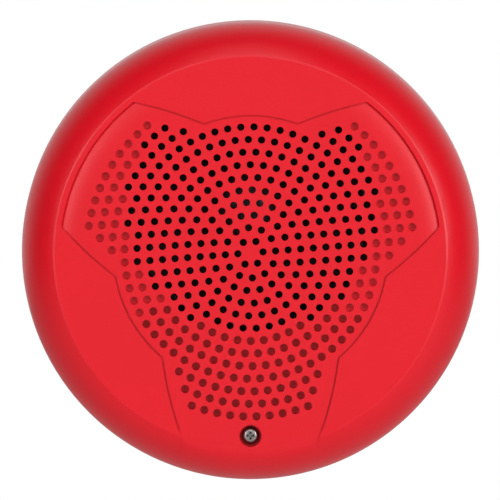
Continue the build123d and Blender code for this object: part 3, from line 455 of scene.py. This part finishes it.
def make_screws():
    """Every screw: its body, the way it faces, shank radius, head height, thread and recess."""
    detailed_screws("captive_screw", "cover_screw", 1, 1.75 * MM, 2.4 * MM, COARSE_PITCH, 0.28,
                    (1.5 * MM, 0.85 * MM, 1.7 * MM))
    for k in range(1, 5):
        detailed_screws(f"terminal_screw_{k}", f"clamp_screw_{k}", 1, 1.5 * MM, 2.1 * MM,
                        COARSE_PITCH, 0.9, (1.35 * MM, 0.7 * MM, 1.4 * MM))
    detailed_screws("rear_cover_screws", "head", -1, 1.15 * MM, 2.2 * MM, FINE_PITCH, 0.9,
                    (1.25 * MM, 0.65 * MM, 1.3 * MM))
    detailed_screws("speaker_screws", "head", -1, 1.15 * MM, 2.0 * MM, FINE_PITCH, 0.9,
                    (1.2 * MM, 0.6 * MM, 1.2 * MM))
    detailed_screws("board_screws", "head", 1, 1.15 * MM, 1.8 * MM, FINE_PITCH, 0.9,
                    (1.05 * MM, 0.55 * MM, 1.1 * MM))


# Stage, light and camera

FLOOR_HALF = 4.0
FLOOR_DROP = 0.6
LIGHT_SIZE = 1.3
LIGHTS = (
    ("right_front", (1.9, -2.4, 0.5), 54),
    ("left_front", (-1.7, -2.5, 0.5), 27),
    ("top_front", (0.0, -2.4, 1.9), 24),
    ("top", (0.0, -1.2, 2.4), 5),
)
ROOM_LEVEL = 0.7
SIDE_LEVEL = 0.05
BACKDROP_LEVEL = 0.95
STUDIO_LEVELS = (
    (0.07, ROOM_LEVEL),
    (0.16, SIDE_LEVEL),
    (0.5, SIDE_LEVEL),
    (0.8, BACKDROP_LEVEL),
)


def grey(level):
    return (level, level, level, 1.0)


def make_floor():
    """A wide, pale floor, far enough below to leave the wall-hung object clear of it."""
    level = LOW.z - FLOOR_DROP
    corners = [(x * FLOOR_HALF, y * FLOOR_HALF, level)
               for x, y in ((-1, -1), (1, -1), (1, 1), (-1, 1))]
    mesh = bpy.data.meshes.new("floor")
    mesh.from_pydata(corners, [], [(0, 1, 2, 3)])
    floor = bpy.data.objects.new("floor", mesh)
    bpy.context.scene.collection.objects.link(floor)
    mat = material("floor_paper", (0.75, 0.75, 0.75), 0.9, specular=0.0)
    shader_of(mat).inputs["Emission Color"].default_value = grey(1.0)
    seen = node(mat, "ShaderNodeMapRange")
    seen.inputs["To Min"].default_value = 0.08
    seen.inputs["To Max"].default_value = 0.45
    link(mat, node(mat, "ShaderNodeLightPath").outputs["Is Camera Ray"], seen.inputs["Value"])
    link(mat, seen.outputs["Result"], shader_of(mat).inputs["Emission Strength"])
    link(mat, bump(mat, noise(mat, position(mat), 0.01), 0.0002), shader_of(mat).inputs["Normal"])
    mesh.materials.append(mat)


def make_light(name, place, power):
    """A round soft box that faces the object."""
    data = bpy.data.lights.new(name, "AREA")
    data.shape = "DISK"
    data.size = LIGHT_SIZE
    data.energy = power
    lamp = bpy.data.objects.new(name, data)
    lamp.location = place
    lamp.rotation_euler = (CENTRE - Vector(place)).to_track_quat("-Z", "Y").to_euler()
    bpy.context.scene.collection.objects.link(lamp)


def make_world():
    """A studio: a bright room in front, dim sides and a white backdrop, seen as paper white."""
    world = bpy.data.worlds.new("studio")
    bpy.context.scene.world = world
    world.use_nodes = True
    nodes, links = world.node_tree.nodes, world.node_tree.links
    direction = nodes.new("ShaderNodeTexCoord")
    parts = nodes.new("ShaderNodeSeparateXYZ")
    to_back = nodes.new("ShaderNodeMapRange")
    to_back.inputs["From Min"].default_value = -1.0
    levels = nodes.new("ShaderNodeValToRGB")
    front, back = levels.color_ramp.elements
    front.color = grey(ROOM_LEVEL)
    back.color = grey(BACKDROP_LEVEL)
    for place, level in STUDIO_LEVELS:
        levels.color_ramp.elements.new(place).color = grey(level)
    surround = nodes["Background"]
    surround.inputs["Strength"].default_value = 1.0
    paper = nodes.new("ShaderNodeBackground")
    paper.inputs["Color"].default_value = grey(1.0)
    path = nodes.new("ShaderNodeLightPath")
    mix = nodes.new("ShaderNodeMixShader")
    links.new(direction.outputs["Generated"], parts.inputs["Vector"])
    links.new(parts.outputs["Y"], to_back.inputs["Value"])
    links.new(to_back.outputs["Result"], levels.inputs["Fac"])
    links.new(levels.outputs["Color"], surround.inputs["Color"])
    links.new(path.outputs["Is Camera Ray"], mix.inputs["Fac"])
    links.new(surround.outputs[0], mix.inputs[1])
    links.new(paper.outputs[0], mix.inputs[2])
    links.new(mix.outputs[0], nodes["World Output"].inputs["Surface"])


def make_camera():
    """Square on and slightly from above, from far enough away to look flat."""
    distance = 8.0
    elevation = radians(2.4)
    share_of_frame = 0.914
    sensor = 36.0
    data = bpy.data.cameras.new("camera")
    data.sensor_width = sensor
    data.lens = sensor * distance * share_of_frame / DIAMETER
    data.shift_x = -0.001
    data.clip_end = 200.0
    camera = bpy.data.objects.new("camera", data)
    target = CENTRE + Vector((0, 0, 0.1 * MM))
    offset = Vector((0, -cos(elevation), sin(elevation))) * distance
    camera.location = target + offset
    camera.rotation_euler = (-offset).to_track_quat("-Z", "Y").to_euler()
    bpy.context.scene.collection.objects.link(camera)
    bpy.context.scene.camera = camera


finish_cad_nodes()
make_screws()
make_floor()
make_world()
for name, place, power in LIGHTS:
    make_light(name, place, power)
make_camera()
bpy.context.scene.view_settings.view_transform = "Standard"
bpy.context.scene.view_settings.look = "None"
